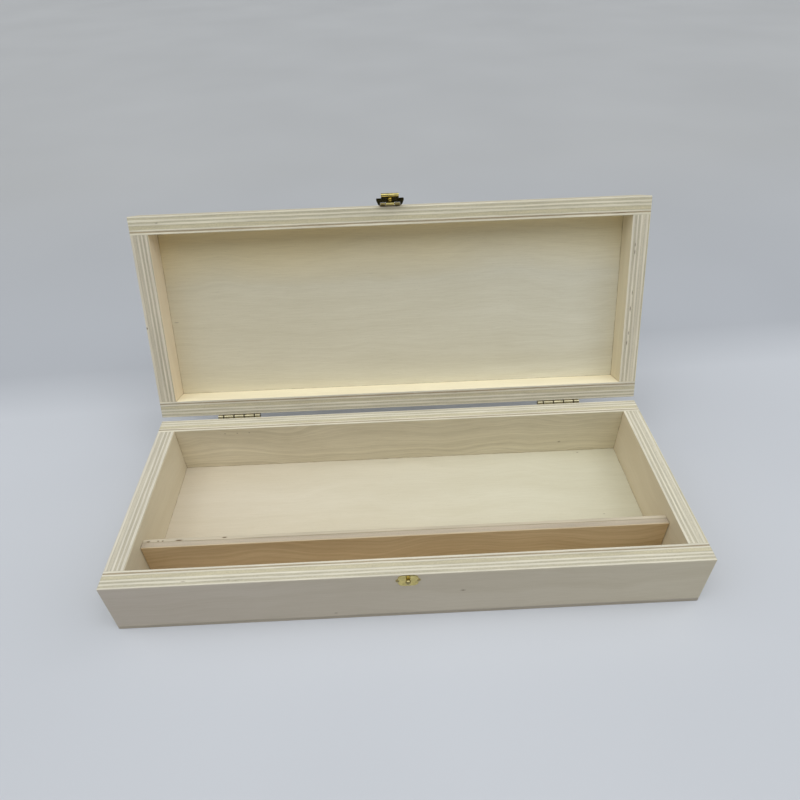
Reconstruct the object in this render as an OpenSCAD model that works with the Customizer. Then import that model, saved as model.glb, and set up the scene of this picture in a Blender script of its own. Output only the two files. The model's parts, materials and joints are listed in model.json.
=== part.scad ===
// Hinged plywood box for pencils and brushes, drawn with its lid standing open.
// X runs along the box, -Y is the front and +Z is up; the origin is the centre of the underside.

/* [Box] */
// Overall length of the box
box_length = 290; // [260:5:400]
// Overall depth of the box, front to back
box_depth = 118; // [100:1:200]
// Height of the base, with its bottom panel
base_height = 34; // [30:1:60]
// Height of the lid, with its top panel
lid_height = 18; // [18:1:40]
// Thickness of the frame walls
wall = 10; // [9:0.5:14]
// Thickness of the bottom and top panels
panel = 3; // [2:0.5:4]
// Gap left between the two rims when the lid is closed
rim_gap = 0.2; // [0.1:0.1:0.5]

/* [Divider] */
// Distance from the outer front face to the divider
divider_setback = 28.4; // [18:0.2:60]
// Thickness of the divider
divider_thickness = 5.5; // [3:0.5:8]
// Height of the divider above the bottom panel
divider_height = 23.5; // [10:0.5:26]
// Gap at each end of the divider
divider_end_gap = 0.2; // [0.1:0.1:1]

/* [Hinges] */
// Distance between the centres of the two hinges
hinge_spacing = 196; // [100:2:220]
// Width of a hinge along its pin
hinge_width = 25.4; // [22:0.2:30]
// Distance from the hinge axis to the far edge of a leaf
leaf_reach = 7.5; // [7:0.5:12]
// Thickness of a leaf
leaf_thickness = 0.6; // [0.4:0.1:0.8]
// Outer radius of the knuckles
knuckle_radius = 1.2; // [1.1:0.05:1.4]
// Radius of the hinge pin
hinge_pin_radius = 0.6; // [0.4:0.05:0.7]
// Angle at which the stop ledges hold the lid open
open_angle = 110; // [100:1:125]

/* [Clasp] */
// Distance of the clasp to the right of the middle
clasp_x = -0.4; // [-40:0.2:40]
// Width of the clasp plates between their ears
clasp_width = 9.7; // [9:0.1:12]
// Height of the keeper plate
keeper_height = 7.9; // [7:0.1:12]
// Distance of the ball below the rim of the base
ball_drop = 3.3; // [3.1:0.1:4]
// Radius of the ball stud
ball_radius = 1.3; // [1.1:0.05:1.4]
// Radius of the rolled lip of the hasp
lip_radius = 1; // [0.9:0.05:1.2]
// Width of the hasp across its ears
hasp_width = 15.1; // [13:0.1:18]
// Angle at which the hasp stands from its closed place
hasp_angle = 90; // [40:1:130]

/* [Hidden] */
$fn = 48;
overlap = 0.05;
cut = 1; // how far a cutter reaches past what it cuts
run_clearance = 0.05;

wall_color = [0.86, 0.80, 0.66];
panel_color = [0.88, 0.83, 0.70];
divider_color = [0.78, 0.68, 0.50];
brass_color = [0.78, 0.64, 0.28];

inner_depth = box_depth - 2 * wall;
inner_length = box_length - 2 * wall;
base_wall_height = base_height - panel;
lid_wall_height = lid_height - panel;
front_y = -box_depth / 2;
back_y = box_depth / 2;
lid_rim_z = base_height + rim_gap;

// Hinges: the axis lies in the gap between the rims, one knuckle radius behind the box.
hinge_y = back_y + knuckle_radius;
hinge_z = base_height + rim_gap / 2;
hinge_sides = [-1, 1];
knuckle_gap = 0.8;
end_knuckle = 3;
middle_knuckle = (hinge_width - 2 * end_knuckle - 4 * knuckle_gap) / 3;
// Left end and length of each of the five knuckles, measured from the middle of the hinge.
base_knuckles = [
    [-hinge_width / 2, end_knuckle],
    [-middle_knuckle / 2, middle_knuckle],
    [hinge_width / 2 - end_knuckle, end_knuckle]
];
lid_knuckles = [
    [-middle_knuckle * 1.5 - knuckle_gap, middle_knuckle],
    [middle_knuckle / 2 + knuckle_gap, middle_knuckle]
];
// Stop ledges: the tip of the lid's ledge lands on the base's ledge at the open angle.
ledge_clearance = 0.3;
ledge_thickness = 0.4;
ledge_gap = 0.03;
ledge_spare = 0.25;
ledge_inner = knuckle_radius + ledge_clearance;
ledge_outer = ledge_inner + ledge_thickness;
lid_ledge_reach = (ledge_inner - ledge_gap + ledge_outer * cos(open_angle)) / sin(open_angle);
ledge_landing = lid_ledge_reach * cos(open_angle) + ledge_outer * sin(open_angle);
base_ledge_reach = ledge_landing + ledge_spare;

// Nails: a domed head, and a shank that stops just short of the inner face.
hinge_nail_pitch = 7.5;
hinge_nail_drop = 4;
nail_radius = 0.55;
nail_hole_radius = 0.6;
nail_head_radius = 1.2;
nail_head_height = 0.5;
nail_end_clearance = 0.4;
nail_tip_radius = 0.1;
nail_tip_slope = 2.5;
hinge_nail_depth = wall - nail_end_clearance;

// Clasp: distances out are measured from the front face of the box.
clasp_sheet = 0.35;
plate_corner = 2.6;
keeper_sheet = 0.35;
keeper_rim_gap = 0.2;
keeper_top = base_height - keeper_rim_gap;
keeper_mid = keeper_top - keeper_height / 2;
ball_z = base_height - ball_drop;
boss_radius = 2.4;
boss_height = 0.2;
stud_radius = 0.65;
stud_depth = 4;
ear_radius = 0.95;
ear_nail_x = clasp_width / 2 + 0.1;
ear_nail_radius = 0.4;
ear_nail_head = 0.8;
ear_nail_dome = 0.25;
ear_nail_depth = 7;
clasp_rim_gap = 0.4;
clasp_plate_bottom = lid_rim_z + clasp_rim_gap;
clasp_plate_height = 7;
clasp_nail_rise = 3.6;
clasp_nail_z = clasp_plate_bottom + clasp_nail_rise;
tab_height = 1;
tab_clearance = 0.2;
barrel_radius = 0.7;
barrel_clearance = 0.12;
clasp_pin_radius = 0.35;
tab_out = keeper_sheet + tab_clearance;
barrel_out = tab_out + barrel_radius;
barrel_drop = ball_radius + barrel_clearance + barrel_radius;
barrel_z = ball_z + barrel_drop;
hasp_knuckle = 4.6;
clasp_knuckle = 2.8;
clasp_knuckle_gap = 0.3;
clasp_barrel = hasp_knuckle + 2 * (clasp_knuckle + clasp_knuckle_gap);

// Hasp, closed: its sheet lies behind the ball's widest part, which snaps through a mouth into a dimple.
hasp_clearance = 0.35;
hasp_out = keeper_sheet + hasp_clearance;
ball_lift = 0.55;
ball_out = hasp_out + clasp_sheet + ball_lift;
ball_rise = ball_out - keeper_sheet - boss_height;
ball_foot = sqrt(max(0, ball_radius * ball_radius - ball_rise * ball_rise));
keeper_bore = max(stud_radius, ball_foot) + run_clearance;
mouth_radius = sqrt(ball_radius * ball_radius - ball_lift * ball_lift) + run_clearance;
dimple_clearance = 0.08;
dimple_sheet = 0.25;
dimple_inner = ball_radius + dimple_clearance;
dimple_outer = dimple_inner + dimple_sheet;
lip_out = hasp_out + lip_radius;
lip_clearance = 0.02;
lip_reach = dimple_inner + lip_radius + lip_clearance;
lip_offset = lip_out - ball_out;
lip_drop = barrel_drop + sqrt(lip_reach * lip_reach - lip_offset * lip_offset);
lip_root = lip_radius - clasp_sheet;
lip_joint = 0.1;
tongue_end = lip_drop - sqrt(lip_radius * lip_radius - lip_root * lip_root) + lip_joint;
ear_clearance = 0.12;
ear_start = barrel_radius + ear_clearance;
ear_inner = clasp_barrel / 2 + ear_clearance;
ear_end = 3.05;
ear_top = 0.75;
ear_tip = 0.5;
ear_slope = 1.1;
ear_corner = 0.2;

// Places that its children, drawn closed, take when the lid stands open.
module lid_place() {
    translate([0, hinge_y, hinge_z])
        rotate([-open_angle, 0, 0])
            translate([0, -hinge_y, -hinge_z])
                children();
}

// A bar of round section along X, starting at x.
module rod(x, length, radius) {
    translate([x, 0, 0])
        rotate([0, 90, 0])
            cylinder(h = length, r = radius);
}

// A flat shape on the front face: its own Y is the height and its own Z points out.
module on_front(out = 0) {
    translate([0, front_y - out, 0])
        rotate([90, 0, 0])
            children();
}

module rounded_rectangle(width, height, radius) {
    translate([-width / 2 + radius, -height / 2])
        square([width - 2 * radius, height]);
    translate([-width / 2, -height / 2 + radius])
        square([width, height - 2 * radius]);
    for (x = [-1, 1], y = [-1, 1])
        translate([x * (width / 2 - radius), y * (height / 2 - radius)])
            circle(r = radius);
}

// A nail driven along -Z from the plane z = 0, with its domed head above that plane.
module nail(radius, head_radius, head_height, depth) {
    tip = nail_tip_slope * radius;
    dome_radius = (head_radius * head_radius + head_height * head_height) / (2 * head_height);
    intersection() {
        translate([0, 0, head_height - dome_radius])
            sphere(r = dome_radius);
        cylinder(h = head_height + overlap, r = head_radius);
    }
    translate([0, 0, tip - depth])
        cylinder(h = depth - tip + overlap, r = radius);
    translate([0, 0, -depth])
        cylinder(h = tip, r1 = nail_tip_radius, r2 = radius);
}

// Base

module base_bottom_panel() {
    color(panel_color)
        translate([-box_length / 2, front_y, 0])
            cube([box_length, box_depth, panel]);
}

module base_long_wall(y) {
    color(wall_color)
        translate([-box_length / 2, y, panel])
            cube([box_length, wall, base_wall_height]);
}

module base_short_wall(x) {
    color(wall_color)
        translate([x, front_y + wall, panel])
            cube([wall, inner_depth, base_wall_height]);
}

module base_front_wall() {
    base_long_wall(front_y);
}

module base_back_wall() {
    base_long_wall(back_y - wall);
}

module base_left_wall() {
    base_short_wall(-box_length / 2);
}

module base_right_wall() {
    base_short_wall(box_length / 2 - wall);
}

module divider() {
    color(divider_color)
        translate([-inner_length / 2 + divider_end_gap, front_y + divider_setback, panel])
            cube([inner_length - 2 * divider_end_gap, divider_thickness, divider_height]);
}

// Lid

module lid_top_panel() {
    color(panel_color)
        lid_place()
            translate([-box_length / 2, front_y, lid_rim_z + lid_wall_height])
                cube([box_length, box_depth, panel]);
}

module lid_long_wall(y) {
    color(wall_color)
        lid_place()
            translate([-box_length / 2, y, lid_rim_z])
                cube([box_length, wall, lid_wall_height]);
}

module lid_short_wall(x) {
    color(wall_color)
        lid_place()
            translate([x, front_y + wall, lid_rim_z])
                cube([wall, inner_depth, lid_wall_height]);
}

module lid_front_wall() {
    lid_long_wall(front_y);
}

module lid_back_wall() {
    lid_long_wall(back_y - wall);
}

module lid_left_wall() {
    lid_short_wall(-box_length / 2);
}

module lid_right_wall() {
    lid_short_wall(box_length / 2 - wall);
}

// Hinges

// A leaf that hangs down from the axis: nail holes in the sheet, knuckles and a stop ledge.
module hinge_leaf(knuckles, bore_radius, ledge_reach) {
    difference() {
        union() {
            translate([-hinge_width / 2, -knuckle_radius, -leaf_reach])
                cube([hinge_width, leaf_thickness, leaf_reach - ledge_inner]);
            translate([-hinge_width / 2, -knuckle_radius, -ledge_outer])
                cube([hinge_width, knuckle_radius + ledge_reach, ledge_thickness]);
            for (k = knuckles) {
                translate([k[0], -knuckle_radius, -ledge_inner - overlap])
                    cube([k[1], leaf_thickness, ledge_inner + overlap]);
                rod(k[0], k[1], knuckle_radius);
            }
        }
        rod(-hinge_width / 2 - cut, hinge_width + 2 * cut, bore_radius);
        for (i = [-1, 0, 1])
            translate([i * hinge_nail_pitch, -knuckle_radius - cut, -hinge_nail_drop])
                rotate([-90, 0, 0])
                    cylinder(h = leaf_thickness + 2 * cut, r = nail_hole_radius);
    }
}

module base_leaf(side) {
    color(brass_color)
        translate([side * hinge_spacing / 2, hinge_y, hinge_z])
            hinge_leaf(base_knuckles, hinge_pin_radius, base_ledge_reach);
}

module lid_leaf(side) {
    color(brass_color)
        lid_place()
            translate([side * hinge_spacing / 2, hinge_y, hinge_z])
                mirror([0, 0, 1])
                    hinge_leaf(lid_knuckles, hinge_pin_radius + run_clearance, lid_ledge_reach);
}

module hinge_pin(side) {
    color(brass_color)
        translate([side * hinge_spacing / 2, hinge_y, hinge_z])
            rod(-hinge_width / 2, hinge_width, hinge_pin_radius);
}

module left_hinge_base_leaf() {
    base_leaf(-1);
}

module right_hinge_base_leaf() {
    base_leaf(1);
}

module left_hinge_lid_leaf() {
    lid_leaf(-1);
}

module right_hinge_lid_leaf() {
    lid_leaf(1);
}

module left_hinge_pin() {
    hinge_pin(-1);
}

module right_hinge_pin() {
    hinge_pin(1);
}

module hinge_nails(z) {
    for (side = hinge_sides, i = [-1, 0, 1])
        translate([side * hinge_spacing / 2 + i * hinge_nail_pitch, back_y + leaf_thickness, z])
            rotate([-90, 0, 0])
                nail(nail_radius, nail_head_radius, nail_head_height, hinge_nail_depth);
}

module base_hinge_nails() {
    color(brass_color)
        hinge_nails(hinge_z - hinge_nail_drop);
}

module lid_hinge_nails() {
    color(brass_color)
        lid_place()
            hinge_nails(hinge_z + hinge_nail_drop);
}

// Clasp

// A plate with one nailed ear on each side, centred on the clasp.
module eared_plate(height, thickness, ear_height) {
    linear_extrude(thickness)
        difference() {
            union() {
                rounded_rectangle(clasp_width, height, plate_corner);
                for (x = [-1, 1])
                    translate([x * ear_nail_x, ear_height])
                        circle(r = ear_radius);
            }
            for (x = [-1, 1])
                translate([x * ear_nail_x, ear_height])
                    circle(r = ear_nail_radius + run_clearance);
        }
}

module ear_nails(z, out) {
    for (x = [-1, 1])
        on_front(out)
            translate([clasp_x + x * ear_nail_x, z, 0])
                nail(ear_nail_radius, ear_nail_head, ear_nail_dome, ear_nail_depth);
}

// A shallow dome that stands on the plane z = 0.
module boss(radius, height) {
    dome_radius = (radius * radius + height * height) / (2 * height);
    intersection() {
        translate([0, 0, height - dome_radius])
            sphere(r = dome_radius);
        translate([0, 0, -overlap])
            cylinder(h = height + 2 * overlap, r = radius);
    }
}

module keeper_plate() {
    color(brass_color)
        difference() {
            union() {
                on_front()
                    translate([clasp_x, keeper_mid, 0])
                        eared_plate(keeper_height, keeper_sheet, 0);
                on_front(keeper_sheet)
                    translate([clasp_x, ball_z, 0])
                        boss(boss_radius, boss_height);
            }
            on_front(-cut)
                translate([clasp_x, ball_z, 0])
                    cylinder(h = keeper_sheet + boss_height + 2 * cut, r = keeper_bore);
        }
}

module keeper_stud() {
    color(brass_color)
        on_front()
            translate([clasp_x, ball_z, 0]) {
                translate([0, 0, ball_out])
                    sphere(r = ball_radius);
                translate([0, 0, -stud_depth])
                    cylinder(h = stud_depth + ball_out, r = stud_radius);
            }
}

module keeper_nails() {
    color(brass_color)
        ear_nails(keeper_mid, keeper_sheet);
}

// The knuckles reach a little below the lid's rim, in front of the keeper plate.
module clasp_plate() {
    plate_mid = clasp_plate_bottom + clasp_plate_height / 2;
    tab_top = clasp_plate_bottom + tab_height;
    knuckle_middle = (clasp_barrel - clasp_knuckle) / 2;
    color(brass_color)
        lid_place()
            translate([clasp_x, 0, 0])
                difference() {
                    union() {
                        on_front()
                            translate([0, plate_mid, 0])
                                eared_plate(clasp_plate_height, clasp_sheet, clasp_nail_z - plate_mid);
                        for (x = [-1, 1])
                            translate([x * knuckle_middle - clasp_knuckle / 2, front_y, 0]) {
                                translate([0, -tab_out - clasp_sheet, barrel_z])
                                    cube([clasp_knuckle, clasp_sheet, tab_top - barrel_z]);
                                translate([0, -tab_out - clasp_sheet, clasp_plate_bottom])
                                    cube([clasp_knuckle, tab_out + clasp_sheet, tab_height]);
                                translate([0, -barrel_out, barrel_z])
                                    rod(0, clasp_knuckle, barrel_radius);
                            }
                    }
                    translate([0, front_y - barrel_out, barrel_z])
                        rod(-clasp_barrel, 2 * clasp_barrel, clasp_pin_radius);
                }
}

module clasp_pin() {
    color(brass_color)
        lid_place()
            translate([clasp_x, front_y - barrel_out, barrel_z])
                rod(-clasp_barrel / 2, clasp_barrel, clasp_pin_radius);
}

module clasp_nails() {
    color(brass_color)
        lid_place()
            ear_nails(clasp_nail_z, clasp_sheet);
}

// Outline of the hasp's sheet, with its height measured down from the pin. Its ears pass beside the barrel.
module hasp_outline() {
    half = hasp_width / 2;
    neck = hasp_knuckle / 2;
    tongue = clasp_width / 2;
    for (side = [-1, 1])
        scale([side, 1])
            polygon([
                [0, 0], [neck, 0], [neck, -ear_start], [ear_inner, -ear_start], [ear_inner, ear_top],
                [ear_inner + ear_tip, ear_top], [ear_inner + ear_slope, ear_top - ear_tip],
                [half - ear_corner, -ear_start - ear_tip], [half, -ear_start - ear_slope],
                [half, -ear_end + ear_corner], [half - ear_corner, -ear_end],
                [tongue, -ear_end], [tongue, -tongue_end], [0, -tongue_end]
            ]);
}

// The hasp hangs from its pin, which is the origin here.
module closed_hasp() {
    sheet_y = barrel_out - hasp_out;
    lip_y = barrel_out - lip_out;
    ball_y = barrel_out - ball_out;
    difference() {
        union() {
            rod(-hasp_knuckle / 2, hasp_knuckle, barrel_radius);
            translate([0, sheet_y, 0])
                rotate([90, 0, 0])
                    linear_extrude(clasp_sheet)
                        hasp_outline();
            translate([0, lip_y, -lip_drop])
                rod(-clasp_width / 2, clasp_width, lip_radius);
            intersection() {
                translate([0, ball_y, -barrel_drop])
                    sphere(r = dimple_outer);
                translate([0, sheet_y - clasp_sheet / 2 - dimple_outer, -barrel_drop])
                    cube(2 * dimple_outer, center = true);
            }
        }
        rod(-hasp_knuckle, 2 * hasp_knuckle, clasp_pin_radius + run_clearance);
        translate([0, lip_y, -lip_drop])
            rod(-clasp_width, 2 * clasp_width, lip_radius - clasp_sheet);
        translate([0, ball_y, -barrel_drop])
            sphere(r = dimple_inner);
        translate([0, sheet_y + overlap, -barrel_drop])
            rotate([90, 0, 0])
                cylinder(h = clasp_sheet + overlap, r = mouth_radius);
    }
}

module clasp_hasp() {
    color(brass_color)
        lid_place()
            translate([clasp_x, front_y - barrel_out, barrel_z])
                rotate([-hasp_angle, 0, 0])
                    closed_hasp();
}

base_bottom_panel();
base_front_wall();
base_back_wall();
base_left_wall();
base_right_wall();
divider();
left_hinge_base_leaf();
right_hinge_base_leaf();
left_hinge_pin();
right_hinge_pin();
base_hinge_nails();
keeper_plate();
keeper_stud();
keeper_nails();
lid_top_panel();
lid_front_wall();
lid_back_wall();
lid_left_wall();
lid_right_wall();
left_hinge_lid_leaf();
right_hinge_lid_leaf();
lid_hinge_nails();
clasp_plate();
clasp_pin();
clasp_nails();
clasp_hasp();
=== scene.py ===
"""The looks of a hinged plywood art supply box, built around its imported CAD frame."""

import json
import math

import bmesh
import bpy
from mathutils import Matrix, Vector, noise


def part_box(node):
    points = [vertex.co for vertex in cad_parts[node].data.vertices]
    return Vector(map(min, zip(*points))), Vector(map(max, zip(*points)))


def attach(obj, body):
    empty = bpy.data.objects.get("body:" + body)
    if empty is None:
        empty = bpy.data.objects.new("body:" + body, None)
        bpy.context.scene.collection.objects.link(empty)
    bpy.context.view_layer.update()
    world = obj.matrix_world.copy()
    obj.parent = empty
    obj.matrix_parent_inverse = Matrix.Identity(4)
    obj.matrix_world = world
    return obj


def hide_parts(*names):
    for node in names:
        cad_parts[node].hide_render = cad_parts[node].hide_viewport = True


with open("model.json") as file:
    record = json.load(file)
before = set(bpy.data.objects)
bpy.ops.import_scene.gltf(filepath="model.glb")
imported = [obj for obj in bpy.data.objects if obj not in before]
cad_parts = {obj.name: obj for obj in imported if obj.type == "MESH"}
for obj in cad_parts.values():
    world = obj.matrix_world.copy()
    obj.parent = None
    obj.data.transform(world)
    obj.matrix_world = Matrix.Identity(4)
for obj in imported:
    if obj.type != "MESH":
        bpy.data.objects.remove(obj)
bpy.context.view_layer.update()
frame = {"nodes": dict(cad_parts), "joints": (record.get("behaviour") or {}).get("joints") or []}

MM = 0.001
joints = {joint["name"]: joint for joint in frame["joints"]}
HINGE = Vector(joints["lid_hinge"]["pos_m"])
OPEN_ANGLE = math.radians(max(joints["lid_hinge"]["range_deg"]))

# Turns the lid's closed place, in which its boards lie level, into the open one of the frame.
LID_OPEN = Matrix.Translation(HINGE) @ Matrix.Rotation(-OPEN_ANGLE, 4, "X") @ Matrix.Translation(-HINGE)
PLACES = {"base": Matrix.Identity(4), "lid": LID_OPEN}


# Materials

class Shading:
    """A material's node tree, built call by call around its Principled BSDF."""

    def __init__(self, name, roughness, metallic=0.0, specular=0.5):
        self.material = bpy.data.materials.new(name)
        self.material.use_nodes = True
        self.tree = self.material.node_tree
        self.shader = self.tree.nodes["Principled BSDF"]
        self.shader.inputs["Roughness"].default_value = roughness
        self.shader.inputs["Metallic"].default_value = metallic
        self.shader.inputs["Specular IOR Level"].default_value = specular

    def node(self, kind, *inputs, **settings):
        made = self.tree.nodes.new("ShaderNode" + kind)
        for key, value in settings.items():
            setattr(made, key, value)
        for socket, value in inputs:
            self.feed(made.inputs[socket], value)
        return made

    def feed(self, socket, value):
        if isinstance(value, bpy.types.NodeSocket):
            self.tree.links.new(value, socket)
        else:
            socket.default_value = value

    def place(self):
        """The point in the piece's own axes, in millimetres."""
        coordinates = self.node("TexCoord")
        scaled = self.node("VectorMath", (0, coordinates.outputs["Object"]), (3, 1 / MM), operation="SCALE")
        return scaled.outputs[0]

    def stretched(self, point, lengths, shift=(0, 0, 0)):
        """The point in units of the given lengths, in millimetres, so that a noise has that size."""
        sizes = tuple(1 / length for length in lengths)
        mapped = self.node("Mapping", ("Vector", point), ("Scale", sizes), ("Location", shift))
        return mapped.outputs[0]

    def noise(self, point, detail=2.0, roughness=0.5, distortion=0.0):
        made = self.node("TexNoise", ("Vector", point), ("Scale", 1.0), ("Detail", detail),
                         ("Roughness", roughness), ("Distortion", distortion))
        return made.outputs["Fac"]

    def math(self, operation, a, b=0.0, clamp=False):
        return self.node("Math", (0, a), (1, b), operation=operation, use_clamp=clamp).outputs[0]

    def remap(self, value, low, high, to_low=0.0, to_high=1.0):
        made = self.node("MapRange", ("Value", value), ("From Min", low), ("From Max", high),
                         ("To Min", to_low), ("To Max", to_high), clamp=True)
        return made.outputs["Result"]

    def mix(self, factor, a, b, blend="MIX"):
        made = self.node("Mix", ("Factor", factor), data_type="RGBA", blend_type=blend)
        self.feed(made.inputs[6], a if isinstance(a, bpy.types.NodeSocket) else (*a, 1))
        self.feed(made.inputs[7], b if isinstance(b, bpy.types.NodeSocket) else (*b, 1))
        return made.outputs[2]

    def ramp(self, value, stops):
        made = self.node("ValToRGB", ("Fac", value))
        elements = made.color_ramp.elements
        while len(elements) < len(stops):
            elements.new(0.5)
        for element, (position, color) in zip(elements, stops):
            element.position = position
            element.color = (*color, 1)
        return made.outputs["Color"]

    def bump(self, height, distance, strength=1.0):
        made = self.node("Bump", ("Height", height), ("Distance", distance * MM), ("Strength", strength))
        self.feed(self.shader.inputs["Normal"], made.outputs["Normal"])

    def color(self, value):
        self.feed(self.shader.inputs["Base Color"], value)

    def part(self, point, axis):
        return self.node("SeparateXYZ", (0, point)).outputs[axis]

    def specks(self, color, point, marks):
        """Small dark marks (x, y, z, length, height, darkness), each on one broad face of the board."""
        for x, y, z, length, height, darkness in marks:
            centred = self.node("VectorMath", (0, point), (1, (x, y, z)), operation="SUBTRACT").outputs[0]
            sized = self.node("VectorMath", (0, centred), (1, (2 / length, 1, 2 / height)),
                              operation="MULTIPLY").outputs[0]
            away = self.node("VectorMath", (0, sized), operation="LENGTH").outputs["Value"]
            color = self.mix(self.remap(away, 0.4, 1.0, darkness, 0.0), color, SPECK_BROWN)
        return color

    def seam(self, color, point, shift, axis, place, mirrored=False, both_faces=False):
        """A dark, broken hairline where another board meets this one, on the inner face or on both.

        It lies at the given place along the axis and, if mirrored, at the same place on the other side too.
        """
        along = self.part(point, axis)
        if mirrored:
            along = self.math("ABSOLUTE", along)
        away = self.math("ABSOLUTE", self.math("SUBTRACT", along, place))
        broken = self.noise(self.stretched(point, (7, 7, 7), shift), 2, 0.6)
        away = self.math("ADD", away, self.remap(broken, 0.35, 0.65, -0.10, 0.28))
        inside = self.math("LESS_THAN", self.part(point, "Y"), BEYOND_ANY_BOARD if both_faces else 0.0)
        darkness = self.math("MULTIPLY", self.remap(away, 0.08, 0.40, SEAM_DARKNESS, 0.0), inside)
        return self.mix(darkness, color, SEAM_BROWN)


# A place in Y, in millimetres, that no board reaches.
BEYOND_ANY_BOARD = 100.0
SEAM_DARKNESS = 0.5

# Colours of the wood, and the thickness of a glue line in millimetres.
SPECK_BROWN = (0.16, 0.10, 0.05)
SEAM_BROWN = (0.36, 0.26, 0.12)
VENEER_LIGHT = (0.77, 0.72, 0.545)
VENEER_DARK = (0.67, 0.61, 0.43)
DIVIDER_LIGHT = (0.79, 0.60, 0.365)
DIVIDER_DARK = (0.56, 0.395, 0.205)
PLY_LONG = (0.78, 0.73, 0.60)
PLY_CROSS = (0.66, 0.61, 0.48)
PLY_GREY = (0.59, 0.54, 0.41)
PLY_YELLOW = (0.62, 0.56, 0.40)
PLY_BROWN = (0.44, 0.36, 0.25)
DIVIDER_TAN = (0.60, 0.49, 0.34)
DIVIDER_PINK = (0.54, 0.455, 0.35)
DIVIDER_PALE = (0.62, 0.54, 0.41)
GLUE = (0.40, 0.34, 0.24)
GLUE_LINE = 0.07
SMUDGE_GREY = (0.42, 0.39, 0.31)

# The plies that are smooth, because their grain runs along the edge.
LONG_GRAINED = (PLY_LONG, DIVIDER_TAN, DIVIDER_PALE)

# The plies from the outer face to the inner one: thickness in millimetres, colour, and whether the grain
# runs across the board.
LONG_WALL_PLIES = [
    (0.9, PLY_LONG, False), (1.05, PLY_GREY, True), (1.15, PLY_LONG, False), (0.85, PLY_GREY, True),
    (1.15, PLY_LONG, False), (2.1, PLY_YELLOW, True), (0.9, PLY_LONG, False), (0.8, PLY_BROWN, True),
    (1.1, PLY_LONG, False),
]
LEFT_WALL_PLIES = [
    (1.6, PLY_LONG, False), (2.1, PLY_CROSS, True), (1.2, PLY_LONG, False), (1.0, PLY_GREY, True),
    (1.1, PLY_LONG, False), (1.0, PLY_GREY, True), (1.4, PLY_LONG, False), (0.6, PLY_YELLOW, True),
]
RIGHT_WALL_PLIES = [
    (0.5, PLY_LONG, False), (0.6, PLY_YELLOW, True), (1.3, PLY_LONG, False), (1.9, PLY_CROSS, True),
    (1.1, PLY_LONG, False), (1.1, PLY_GREY, True), (1.2, PLY_LONG, False), (1.0, PLY_GREY, True),
    (1.3, PLY_LONG, False),
]
PANEL_PLIES = [(0.8, PLY_LONG, False), (1.4, PLY_CROSS, True), (0.8, PLY_LONG, False)]
DIVIDER_PLIES = [
    (0.7, DIVIDER_TAN, False), (2.6, DIVIDER_PINK, True), (0.35, PLY_BROWN, True),
    (1.85, DIVIDER_PALE, False),
]

UNTINTED = ((1, 1, 1), (1, 1, 1))

# How much each kind of variation counts in the tone of a veneer, beside the figure's own share.
BAND_SHARE = 0.9
BLOTCH_SHARE = 0.5
FIBRE_SHARE = 0.8

# A tint's two ends, in millimetres along a board.
TINT_REACH = 140


def veneer(name, light, dark, shift, figure, tints=UNTINTED, seams=(), marks=(), painted_shade=None):
    """A broad face: wandering lengthwise figure and fibres, short pores, and dark seams at its neighbours.

    The colour is multiplied by the first tint at the low end of X and by the second at the high one; the
    tints hold both the board's own tone and painted light and shade. A painted shade is a further tint of
    the inner face that
    grows along Z between two places: the painted shade of a neighbouring wall, yellow with its bounce light.
    """
    wood = Shading(name, roughness=0.62, specular=0.3)
    point = wood.place()
    wander = wood.noise(wood.stretched(point, (85, 60, 60), shift), 2, 0.5)
    drift = wood.node("CombineXYZ", ("Z", wood.remap(wander, 0.2, 0.8, -11.0, 11.0))).outputs[0]
    warped = wood.node("VectorMath", (0, point), (1, drift), operation="ADD").outputs[0]
    bands = wood.noise(wood.stretched(warped, (230, 60, 9), shift), 3, 0.55)
    lines = wood.noise(wood.stretched(warped, (360, 60, 1.7), shift), 3, 0.6)
    fibres = wood.noise(wood.stretched(point, (11, 3, 0.42), shift), 2, 0.65)
    pores = wood.noise(wood.stretched(point, (2.4, 1, 0.18), shift), 1, 0.5)
    blotches = wood.noise(wood.stretched(point, (48, 60, 26), shift), 2, 0.5)
    tone = wood.math("MULTIPLY", bands, BAND_SHARE)
    for layer, share in ((blotches, BLOTCH_SHARE), (lines, figure), (fibres, FIBRE_SHARE)):
        tone = wood.math("ADD", tone, wood.math("MULTIPLY", layer, share))
    middle = (BAND_SHARE + BLOTCH_SHARE + figure + FIBRE_SHARE) / 2
    color = wood.mix(wood.remap(tone, middle - 0.45, middle + 0.45), dark, light)
    pore_depth = wood.remap(pores, 0.69, 0.78, 0.0, 0.30)
    color = wood.mix(pore_depth, color, [channel * 0.6 for channel in dark])
    # The tints: each board's own tone, with painted light and shade.
    along = wood.remap(wood.part(point, "X"), -TINT_REACH, TINT_REACH)
    color = wood.mix(1.0, color, wood.mix(along, *tints), "MULTIPLY")
    # Painted shade: the inner face turns yellower along Z, as in the shadow of a wall.
    if painted_shade:
        start, end, tint = painted_shade
        height = wood.math("ADD", wood.part(point, "Z"), wood.remap(wander, 0.2, 0.8, -7.0, 7.0))
        inside = wood.math("LESS_THAN", wood.part(point, "Y"), 0.0)
        amount = wood.math("MULTIPLY", wood.remap(height, start, end), inside)
        color = wood.mix(1.0, color, wood.mix(amount, (1, 1, 1), tint), "MULTIPLY")
    for seam in seams:
        color = wood.seam(color, point, shift, *seam)
    wood.color(wood.specks(color, point, marks))
    wood.feed(wood.shader.inputs["Roughness"], wood.remap(fibres, 0.3, 0.7, 0.56, 0.70))
    wood.bump(wood.math("SUBTRACT", fibres, pore_depth), 0.03, 0.35)
    return wood.material


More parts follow.
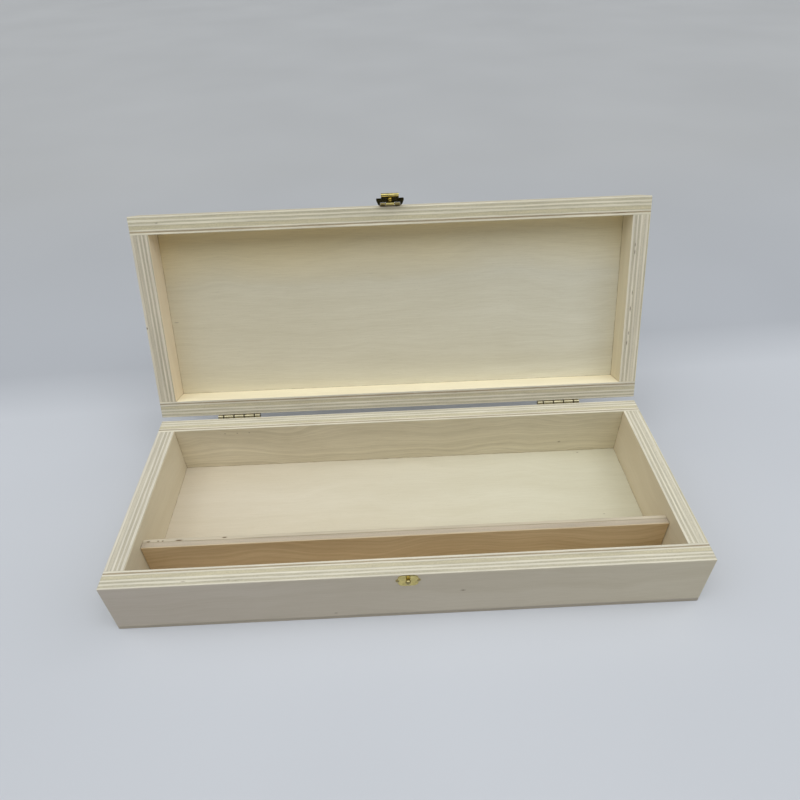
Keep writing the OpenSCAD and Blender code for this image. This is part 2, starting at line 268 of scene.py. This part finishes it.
def ply_stops(plies):
    """Colour stops from the inner face to the outer one, with a thin dark glue line between plies."""
    total = sum(thickness for thickness, _, _ in plies)
    stops, position = [], 0.0
    for thickness, color, _ in reversed(plies):
        after = position + thickness / total
        if position:
            stops += [(position, GLUE), (position + GLUE_LINE / total, color)]
        else:
            stops.append((position, color))
        stops.append((after - GLUE_LINE / total, color))
        position = after
    return stops


def turned(plies):
    """The same plies seen from the end of the board, where the grain of each one runs the other way."""
    swap = {PLY_LONG: PLY_CROSS, PLY_CROSS: PLY_LONG, PLY_GREY: PLY_LONG, PLY_YELLOW: PLY_LONG}
    return [(thickness, swap.get(color, color), not crossed) for thickness, color, crossed in plies]


def ply_edge(name, plies, shift, tint=(1, 1, 1)):
    """A cut edge: the plies as stripes that wander a little, smooth along the grain, speckled across it."""
    wood = Shading(name, roughness=0.72, specular=0.25)
    point = wood.place()
    thickness = sum(ply for ply, _, _ in plies)
    depth = wood.part(point, "Y")
    sway = wood.noise(wood.stretched(point, (38, 2.4, 38), shift), 2, 0.6)
    ripple = wood.noise(wood.stretched(point, (5, 1.5, 5), shift), 1, 0.5)
    depth = wood.math("ADD", depth, wood.remap(sway, 0.2, 0.8, -0.24, 0.24))
    depth = wood.math("ADD", depth, wood.remap(ripple, 0.2, 0.8, -0.07, 0.07))
    share = wood.remap(depth, -thickness / 2, thickness / 2)
    stops = ply_stops(plies)
    stripes = wood.ramp(share, stops)
    crossed = wood.ramp(share, [(position, (0, 0, 0) if color in LONG_GRAINED else (1, 1, 1))
                                for position, color in stops])
    grains = wood.noise(wood.stretched(point, (0.45, 0.28, 0.45), shift), 2, 0.65)
    streaks = wood.noise(wood.stretched(point, (11, 0.22, 11), shift), 2, 0.6)
    patches = wood.noise(wood.stretched(point, (30, 1.2, 30), shift), 3, 0.6)
    smudges = wood.noise(wood.stretched(point, (9, 0.7, 9), shift), 2, 0.6)
    streaked = wood.remap(streaks, 0.25, 0.75, 0.92, 1.05)
    speckled = wood.remap(grains, 0.3, 0.7, 0.82, 1.13)
    texture = wood.mix(crossed, streaked, speckled)
    color = wood.mix(1.0, stripes, texture, "MULTIPLY")
    color = wood.mix(1.0, color, wood.remap(patches, 0.3, 0.7, 0.86, 1.09), "MULTIPLY")
    smudge = wood.math("MULTIPLY", wood.remap(smudges, 0.60, 0.74, 0.0, 0.5), crossed)
    color = wood.mix(smudge, color, SMUDGE_GREY)
    color = wood.mix(1.0, color, tint, "MULTIPLY")
    pit = wood.node("Attribute", attribute_name="pit").outputs["Fac"]
    wood.color(wood.mix(pit, color, SPECK_BROWN))
    wood.bump(grains, 0.05, 0.4)
    return wood.material


# Boards

# Grid places near a rounded edge, in millimetres from it, the spacing of the others on the three axes, and
# how far inside a ply its outer grid places lie.
EDGE_STEPS = (0.0, 0.1, 0.22, 0.4, 0.65, 1.0)
LENGTH_SPACING = 3.2 * MM
THICKNESS_SPACING = 1.5 * MM
WIDTH_SPACING = 4.0 * MM
PLY_MARGIN = 0.06 * MM

# Grid places round a pit, in shares of its half length or half width.
PIT_SHARES = (-1.2, -0.8, -0.4, 0, 0.4, 0.8, 1.2)

# The pit depth, in millimetres, at which its middle is quite dark.
DARK_PIT = 0.15

# How deep a cross-grain ply lies, how much that varies, and over what distance, in millimetres.
PLY_RELIEF = 0.035
RELIEF_CHANGE = 0.02
RELIEF_LENGTH = 1.7

# Closer than this, in metres, a point counts as on the face.
ON_FACE = 1e-7


def between(low, high, spacing):
    """Grid places from low to high, close together at both ends, where the edges are rounded."""
    ends = [low + step * MM for step in EDGE_STEPS] + [high - step * MM for step in EDGE_STEPS]
    count = max(1, round((high - low) / spacing))
    inner = [low + (high - low) * i / count for i in range(1, count)]
    clear = EDGE_STEPS[-1] * MM * 1.3
    inner = [place for place in inner if low + clear < place < high - clear]
    return sorted(set(round(place, 7) for place in ends + inner if low <= place <= high))


def ply_places(plies, thickness):
    """Grid places across the plies: just inside each one's edges and at its middle."""
    places, position = [], -thickness / 2
    for ply, _, _ in reversed(plies):
        places += [position + PLY_MARGIN, position + ply * MM / 2, position + ply * MM - PLY_MARGIN]
        position += ply * MM
    return places


def is_cross_ply(plies, thickness, depth):
    """1 where the grain runs across, 0 elsewhere; depth is measured from the board's middle."""
    position = -thickness / 2
    for ply, _, crossed in reversed(plies):
        position += ply * MM
        if depth < position:
            return 1.0 if crossed else 0.0
    return 0.0


def grid_box(xs, ys, zs):
    """A closed box of quads whose grid lines lie at the given places.

    Its broad faces, edges and ends get the materials 0, 1 and 2.
    """
    mesh = bmesh.new()
    lines = (xs, ys, zs)
    found = {}

    def vertex(index):
        if index not in found:
            found[index] = mesh.verts.new([lines[axis][index[axis]] for axis in range(3)])
        return found[index]

    for axis in range(3):
        u, v = (axis + 1) % 3, (axis + 2) % 3
        for side in (0, len(lines[axis]) - 1):
            for i in range(len(lines[u]) - 1):
                for j in range(len(lines[v]) - 1):
                    corners = []
                    for across, up in ((0, 0), (1, 0), (1, 1), (0, 1)):
                        index = [0, 0, 0]
                        index[axis], index[u], index[v] = side, i + across, j + up
                        corners.append(vertex(tuple(index)))
                    face = mesh.faces.new(corners if side else corners[::-1])
                    face.material_index = (2, 0, 1)[axis]
                    face.smooth = True
    return mesh


def rounded(point, low, high, radius):
    """The point pulled onto the box from low to high with its edges and corners rounded."""
    inner = Vector([min(max(point[i], low[i] + radius), high[i] - radius) for i in range(3)])
    away = point - inner
    return inner + away.normalized() * radius if away.length > radius + 1e-9 else point


def closed_box(body, nodes):
    """The box round some of a body's nodes, in the place where its boards lie level."""
    back = PLACES[body].inverted()
    corners = [back @ v.co for node in nodes for v in frame["nodes"][node].data.vertices]
    low = Vector([min(c[i] for c in corners) for i in range(3)])
    high = Vector([max(c[i] for c in corners) for i in range(3)])
    return low, high


def board(name, node, body, turn, plies, materials, assembly, pits=(), edge=0.22, corner=0.5):
    """One plywood board in place of a CAD node.

    X runs along it, Y from its inner to its outer face and Z over its width. Its edges are rounded, and the
    corners of the whole assembly a little more. Each cross-grain ply lies slightly deeper in the cut edges.
    """
    home = PLACES[body]
    low, high = closed_box(body, [node])
    local = Matrix.Translation((low + high) / 2) @ turn
    spread = turn.inverted().to_3x3() @ (high - low)
    size = Vector([abs(s) for s in spread])
    half = size / 2
    xs = between(-half.x, half.x, LENGTH_SPACING)
    ys = between(-half.y, half.y, THICKNESS_SPACING) + [round(y, 7) for y in ply_places(plies, size.y)]
    zs = between(-half.z, half.z, WIDTH_SPACING)
    for x, y, side, length, width, depth in pits:
        xs += [(x + length * share / 2) * MM for share in PIT_SHARES]
        ys += [(y + width * share / 2) * MM for share in PIT_SHARES]
    xs, ys = sorted(set(xs)), sorted(set(ys))
    mesh = grid_box(xs, ys, zs)
    dark = mesh.verts.layers.float.new("pit")
    box_low, box_high = assembly
    for vertex in mesh.verts:
        flat = vertex.co.copy()
        crossed = is_cross_ply(plies, size.y, flat.y)
        vertex.co = rounded(flat, -half, half, edge * MM)
        vertex.co = local.inverted() @ rounded(local @ vertex.co, box_low, box_high, corner * MM)
        relief = crossed * (PLY_RELIEF + RELIEF_CHANGE * noise.noise(flat / (RELIEF_LENGTH * MM))) * MM
        if abs(flat.z) > half.z - ON_FACE:
            vertex.co.z -= math.copysign(relief, flat.z)
        if abs(flat.x) > half.x - ON_FACE:
            vertex.co.x -= math.copysign(relief, flat.x)
        for x, y, side, length, width, depth in pits:
            if abs(flat.z - side * half.z) < ON_FACE:
                along = (flat.x / MM - x) * 2 / length
                across = (flat.y / MM - y) * 2 / width
                hollow = 1 - along ** 2 - across ** 2
                if hollow > 0:
                    vertex.co.z -= side * depth * MM * hollow
                    vertex[dark] = min(1.0, depth / DARK_PIT) * min(1.0, 1.5 * hollow)
    data = bpy.data.meshes.new(name)
    mesh.to_mesh(data)
    mesh.free()
    for material in materials:
        data.materials.append(material)
    made = bpy.data.objects.new(name, data)
    bpy.context.scene.collection.objects.link(made)
    made.matrix_world = home @ local
    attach(made, body)
    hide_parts(node)
    return made


def facing(degrees):
    """The turn about Z that points a board's outer face from +Y to that side."""
    return Matrix.Rotation(math.radians(degrees), 4, "Z")


FRONT, BACK, LEFT, RIGHT = facing(180), facing(0), facing(90), facing(-90)
FACE_UP = Matrix.Rotation(math.radians(90), 4, "X")
FACE_DOWN = Matrix.Rotation(math.radians(-90), 4, "X")

WALLS = (("front", FRONT), ("back", BACK), ("left", LEFT), ("right", RIGHT))


PLIES = {
    "front": LONG_WALL_PLIES, "back": LONG_WALL_PLIES,
    "left": LEFT_WALL_PLIES, "right": RIGHT_WALL_PLIES,
}

# Every board has a tone of its own, as wood has, and the tints also hold painted light and shade: the base
# front darker and greyer, most towards the left, and the base panel a little darker, as painted shade; the
# base back and the lid's boards brighter as painted light. The tints at the low and the high end of its X.
TINTS = {
    "base_front": ((0.89, 0.86, 0.89), (0.80, 0.76, 0.86)),
    "base_back": ((1.18, 1.16, 1.22), (1.10, 1.09, 1.11)),
    "base_left": ((1.0, 0.97, 1.01), (1.0, 0.97, 1.01)),
    "base_right": ((0.98, 0.93, 0.93), (0.98, 0.93, 0.93)),
    "base_panel": ((0.93, 0.89, 0.96), (0.93, 0.96, 1.01)),
    "lid_front": ((0.93, 0.90, 0.92), (0.90, 0.87, 0.90)),
    "lid_back": ((1.36, 1.33, 1.34), (1.36, 1.33, 1.34)),
    "lid_left": ((1.19, 1.11, 1.14), (1.19, 1.11, 1.14)),
    "lid_right": ((1.05, 1.01, 1.0), (1.05, 1.01, 1.0)),
    "lid_panel": ((1.035, 1.02, 1.04), (1.12, 1.155, 1.28)),
}

# The cut edges that aren't as pale as the others, and a few paler ones; the base panel's darker edges, at
# the foot of the box, are painted contact shade.
EDGE_TINTS = {
    "base_panel": (0.72, 0.68, 0.68), "base_left": (0.94, 0.93, 0.95), "lid_front": (1.14, 1.13, 1.08),
    "lid_left": (0.97, 0.94, 0.92), "lid_right": (1.07, 1.05, 1.03),
}

# How strongly the figure shows, and how dark its darkest lines are against the other boards'.
FIGURES = {
    "base_back": (1.3, 0.82), "base_front": (0.5, 0.97), "base_left": (0.4, 1.0), "base_right": (0.3, 1.0),
    "base_panel": (0.3, 1.0), "lid_panel": (0.5, 0.95),
}
PLAIN_FIGURE = (0.7, 0.96)
DIVIDER_FIGURE = 1.2

# The lid panel's inner face is yellower near the clasp, as painted shade of the lid's front wall with its
# warm bounce light: from where to where in Z, and the tint.
LID_PAINTED_SHADE = (16, 46, (1.20, 1.10, 0.86))

# Marks on the broad faces: x, y, z, length, height and darkness, in the board's own axes.
MARKS = {
    "base_front": [
        (36.5, 5, -13.5, 2.2, 1.1, 0.5), (-25.9, 5, 1.0, 3.4, 2.2, 0.35), (-25.9, 5, 0.9, 1.4, 1.0, 0.4),
    ],
    "base_back": [
        (-105.6, -5, 11.8, 1.3, 0.9, 0.55), (-98.2, -5, 11.8, 1.3, 0.9, 0.55),
        (-91.0, -5, 11.8, 1.3, 0.9, 0.55), (99.0, -5, -7.5, 2.2, 1.5, 0.5),
    ],
    "base_panel": [(111.3, -1.5, 46.7, 1.8, 1.0, 0.5), (113.6, -1.5, -3.2, 1.4, 0.9, 0.4)],
    "lid_panel": [(-132.2, -1.5, -3.7, 3.4, 0.8, 0.4)],
}

# Pits and bruises in the cut edges: x, y, side in Z, length, width and depth.
PITS = {
    "base_front": [
        (105.4, 2.7, 1, 2.6, 0.7, 0.06), (84.3, 2.9, 1, 2.2, 0.6, 0.05), (80.7, 3.5, 1, 1.8, 0.6, 0.05),
    ],
    "lid_front": [(129.4, 1.0, -1, 1.8, 0.6, 0.1), (-127.5, -3.7, -1, 9.0, 0.5, 0.12)],
    "lid_left": [(3.4, 4.5, -1, 1.6, 0.8, 0.2)],
    "lid_right": [
        (32.6, -2.4, -1, 2.4, 0.6, 0.1), (28.6, -2.3, -1, 3.0, 0.7, 0.09), (5.5, -1.7, -1, 3.0, 0.6, 0.1),
        (-4.0, -2.1, -1, 3.4, 0.7, 0.12), (-18.6, -1.9, -1, 2.6, 0.6, 0.1), (-24.6, -2.4, -1, 3.0, 0.7, 0.1),
    ],
    "divider": [
        (131.9, -1.3, 1, 2.2, 0.8, 0.35), (126.9, -1.4, 1, 1.2, 0.7, 0.3), (124.6, -1.4, 1, 1.2, 0.7, 0.3),
        (116.3, -1.4, 1, 4.4, 0.8, 0.35), (93.1, -1.9, 1, 2.8, 0.9, 0.3),
    ],
}


def materials_for(name, plies, shift, seams, painted_shade=None):
    """A board's own materials: broad faces, cut edges and cut ends. The shift makes its grain its own."""
    tint = EDGE_TINTS.get(name, (1, 1, 1))
    figure, depth = FIGURES.get(name, PLAIN_FIGURE)
    dark = [channel * depth for channel in VENEER_DARK]
    marks = MARKS.get(name, ())
    return [
        veneer(f"{name}_veneer", VENEER_LIGHT, dark, shift, figure, TINTS[name], seams, marks, painted_shade),
        ply_edge(f"{name}_edge", plies, shift, tint),
        ply_edge(f"{name}_end", turned(plies), shift, tint),
    ]


PANELS = {"base": ("base_bottom_panel", FACE_DOWN), "lid": ("lid_top_panel", FACE_UP)}


def wall_shift(number, order):
    """Where a wall's grain lies in the noise, so that no two boards look alike."""
    return (number * 7.3 + order * 3.1, order * 5.7 + number, number * 2.9 + order * 1.3)


def build_walls(body, number, assembly, inner_x, inner_y, half_height):
    """The four walls of one half of the box, with dark seams at its corners and along its panel."""
    panel_seam = ("Z", -half_height if body == "base" else half_height)
    for order, (side, turn) in enumerate(WALLS):
        name = f"{body}_{side}"
        plies = PLIES[side]
        corner_seam = ("X", inner_x if side in ("front", "back") else inner_y, True)
        materials = materials_for(name, plies, wall_shift(number, order), [corner_seam, panel_seam])
        pits = PITS.get(name, ())
        made = board(f"{name}_board", f"{name}_wall", body, turn, plies, materials, assembly, pits)


def build_panel(body, number, assembly, inner_x, inner_y):
    """The thin panel that closes one half of the box."""
    name = f"{body}_panel"
    node, turn = PANELS[body]
    seams = [("X", inner_x, True), ("Z", inner_y, True)]
    # The lid panel gets painted shade under its front wall, near the clasp.
    painted_shade = LID_PAINTED_SHADE if body == "lid" else None
    materials = materials_for(name, PANEL_PLIES, (number * 11.0, 3.0, number * 5.0), seams, painted_shade)
    made = board(f"{name}_board", node, body, turn, PANEL_PLIES, materials, assembly)


def build_divider():
    """The browner strip behind the front wall. A dark seam marks each of its ends."""
    shift = (4.0, 9.0, 2.0)
    seams = [("X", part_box("divider")[1].x / MM, True, True)]
    materials = [
        veneer("divider_veneer", DIVIDER_LIGHT, DIVIDER_DARK, shift, DIVIDER_FIGURE, seams=seams),
        ply_edge("divider_edge", DIVIDER_PLIES, shift),
        ply_edge("divider_end", turned(DIVIDER_PLIES), shift),
    ]
    own_box = closed_box("base", ["divider"])
    strip = board("divider_strip", "divider", "base", FRONT, DIVIDER_PLIES, materials, own_box,
                  PITS["divider"], corner=0.25)


def build_boards():
    for number, body in enumerate(PANELS):
        walls = [f"{body}_{side}_wall" for side, _ in WALLS]
        assembly = closed_box(body, [PANELS[body][0]] + walls)
        opening = closed_box(body, [f"{body}_left_wall", f"{body}_right_wall"])
        low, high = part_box(f"{body}_left_wall")
        inner_x = (opening[1].x - (high[0] - low[0])) / MM
        inner_y = opening[1].y / MM
        half_height = (opening[1].z - opening[0].z) / 2 / MM
        build_walls(body, number, assembly, inner_x, inner_y, half_height)
        build_panel(body, number, assembly, inner_x, inner_y)
    build_divider()


build_boards()


# Brass

def brass(name, color, roughness):
    """Thin yellow brass: soft blotches of tarnish, fine rubbing marks and a slightly uneven gloss."""
    metal = Shading(name, roughness=roughness, metallic=1.0)
    point = metal.place()
    blotches = metal.noise(metal.stretched(point, (2.2, 2.2, 2.2)), 3, 0.6)
    rubbing = metal.noise(metal.stretched(point, (3.0, 0.12, 0.12)), 2, 0.6)
    dull = [channel * 0.62 for channel in color]
    metal.color(metal.mix(metal.remap(blotches, 0.35, 0.7), color, dull))
    metal.feed(metal.shader.inputs["Roughness"],
               metal.remap(rubbing, 0.3, 0.7, roughness - 0.07, roughness + 0.12))
    metal.bump(rubbing, 0.01, 0.3)
    return metal.material


HINGE_BRASS = brass("hinge_brass", (0.56, 0.50, 0.33), 0.30)
# The hinge pins are painted nearly black: painted shade in the gaps between the knuckles.
PIN_BRASS_PAINTED_SHADE = brass("pin_brass_painted_shade", (0.14, 0.11, 0.06), 0.45)
CLASP_BRASS = brass("clasp_brass", (0.74, 0.62, 0.24), 0.15)
# The clasp plate and its barrel are a dark brass: painted shade under the hasp.
PLATE_BRASS_PAINTED_SHADE = brass("plate_brass_painted_shade", (0.32, 0.26, 0.11), 0.30)
# The keeper stud is a darker brass than the clasp's: painted shade round the stud.
STUD_BRASS_PAINTED_SHADE = brass("stud_brass_painted_shade", (0.50, 0.42, 0.20), 0.28)
NAIL_BRASS = brass("nail_brass", (0.40, 0.32, 0.16), 0.32)


def metal_for(name):
    """The brass of one of the CAD nodes that are kept; that of the pins, the clasp plate and the stud is
    darkened as painted shade.
    """
    if name == "clasp_plate":
        return PLATE_BRASS_PAINTED_SHADE
    if name == "keeper_stud":
        return STUD_BRASS_PAINTED_SHADE
    if "nails" in name:
        return NAIL_BRASS
    if "pin" in name:
        return PIN_BRASS_PAINTED_SHADE
    return HINGE_BRASS if "hinge" in name else CLASP_BRASS


for name, node in frame["nodes"].items():
    if not node.hide_render:
        node.data.materials.clear()
        node.data.materials.append(metal_for(name))


# Stage, light and camera

# The paper's colour near the box, and behind it and far behind it, darker there as painted shade, as on a
# backdrop in less light, and where in Y it changes, in millimetres.
PAPER_NEAR = (0.61, 0.625, 0.67)
PAPER_BEHIND_PAINTED_SHADE = (0.47, 0.485, 0.525)
PAPER_FAR_PAINTED_SHADE = (0.48, 0.485, 0.50)
BEHIND_START, BEHIND_END = 122, 174
FAR_START, FAR_END = 190, 600

# What each unit to the right adds to Y in that reckoning.
PAPER_SLANT = -0.05


def stage_floor():
    """A plain pale table that turns a little darker behind the box, painted shade like that of a paper
    backdrop in less light.
    """
    mesh = bmesh.new()
    bmesh.ops.create_grid(mesh, x_segments=24, y_segments=24, size=8)
    data = bpy.data.meshes.new("stage_floor")
    mesh.to_mesh(data)
    mesh.free()
    floor = bpy.data.objects.new("stage_floor", data)
    bpy.context.scene.collection.objects.link(floor)
    paper = Shading("stage_paper", roughness=0.8, specular=0.2)
    point = paper.place()
    slant = paper.math("MULTIPLY", paper.part(point, "X"), PAPER_SLANT)
    away = paper.math("ADD", paper.part(point, "Y"), slant)
    cloudy = paper.noise(paper.stretched(point, (260, 260, 260)), 2, 0.5)
    # Painted shade: the paper turns darker behind the box.
    color = paper.mix(paper.remap(away, BEHIND_START, BEHIND_END), PAPER_NEAR, PAPER_BEHIND_PAINTED_SHADE)
    color = paper.mix(paper.remap(away, FAR_START, FAR_END), color, PAPER_FAR_PAINTED_SHADE)
    paper.color(paper.mix(1.0, color, paper.remap(cloudy, 0.3, 0.7, 0.97, 1.03), "MULTIPLY"))
    data.materials.append(paper.material)


def sun(name, energy, spread, tilt):
    """A broad, soft, distant lamp: spread is how wide it looks, tilt its turn about X and Y, in degrees."""
    lamp = bpy.data.lights.new(name, "SUN")
    lamp.energy = energy
    lamp.angle = math.radians(spread)
    lamp.color = DAYLIGHT
    placed = bpy.data.objects.new(name, lamp)
    placed.rotation_euler = (math.radians(tilt[0]), math.radians(tilt[1]), 0)
    bpy.context.scene.collection.objects.link(placed)


# Where the room is unlit, in front of the box and a little above it: polished brass mirrors it.
DARK_SIDE = Vector((0, -0.93, 0.36))

# The room's strength elsewhere and there, and between which cosines of the angle to it the light falls off.
ROOM_STRENGTH = 0.14
DARK_STRENGTH = 0.01
DARK_START, DARK_END = 0.70, 0.92
DAYLIGHT = (0.97, 1.0, 1.0)


def lights():
    """A wide soft ceiling light and two weaker ones to its sides, in a dim room."""
    world = bpy.data.worlds.new("studio")
    world.use_nodes = True
    nodes, links = world.node_tree.nodes, world.node_tree.links
    room = nodes["Background"]
    room.inputs["Color"].default_value = (0.97, 0.98, 1.0, 1)
    ray = nodes.new("ShaderNodeTexCoord")
    toward = nodes.new("ShaderNodeVectorMath")
    toward.operation = "DOT_PRODUCT"
    toward.inputs[1].default_value = DARK_SIDE
    level = nodes.new("ShaderNodeMapRange")
    for socket, value in (("From Min", DARK_START), ("From Max", DARK_END),
                          ("To Min", ROOM_STRENGTH), ("To Max", DARK_STRENGTH)):
        level.inputs[socket].default_value = value
    links.new(ray.outputs["Generated"], toward.inputs[0])
    links.new(toward.outputs["Value"], level.inputs["Value"])
    links.new(level.outputs["Result"], room.inputs["Strength"])
    bpy.context.scene.world = world
    sun("ceiling", 1.35, 66, (17, 0))
    sun("left_side", 0.85, 60, (4, -44))
    sun("right_side", 0.95, 60, (4, 44))


# Where the camera stands in metres, its turns in radians (right, down and about its own axis) and its lens.
CAMERA_SPOT = Vector((-0.004, -0.2283, 0.2793))
CAMERA_TURNS = (0.0161, 0.6897, -0.0346)
CAMERA_LENS = 27.72


def camera():
    """Stands in front of the box, above it, looking down at the open tray."""
    yaw, pitch, roll = CAMERA_TURNS
    forward = Vector((math.sin(yaw) * math.cos(pitch), math.cos(yaw) * math.cos(pitch), -math.sin(pitch)))
    level = Vector((math.cos(yaw), -math.sin(yaw), 0))
    upward = level.cross(forward)
    right = math.cos(roll) * level + math.sin(roll) * upward
    above = math.cos(roll) * upward - math.sin(roll) * level
    data = bpy.data.cameras.new("camera")
    data.sensor_width = 36
    data.lens = CAMERA_LENS
    data.clip_start = 0.01
    view = bpy.data.objects.new("camera", data)
    turned_axes = Matrix((right, above, -forward)).transposed().to_4x4()
    view.matrix_world = Matrix.Translation(CAMERA_SPOT) @ turned_axes
    bpy.context.scene.collection.objects.link(view)
    bpy.context.scene.camera = view


stage_floor()
lights()
camera()
bpy.context.scene.view_settings.view_transform = "Standard"
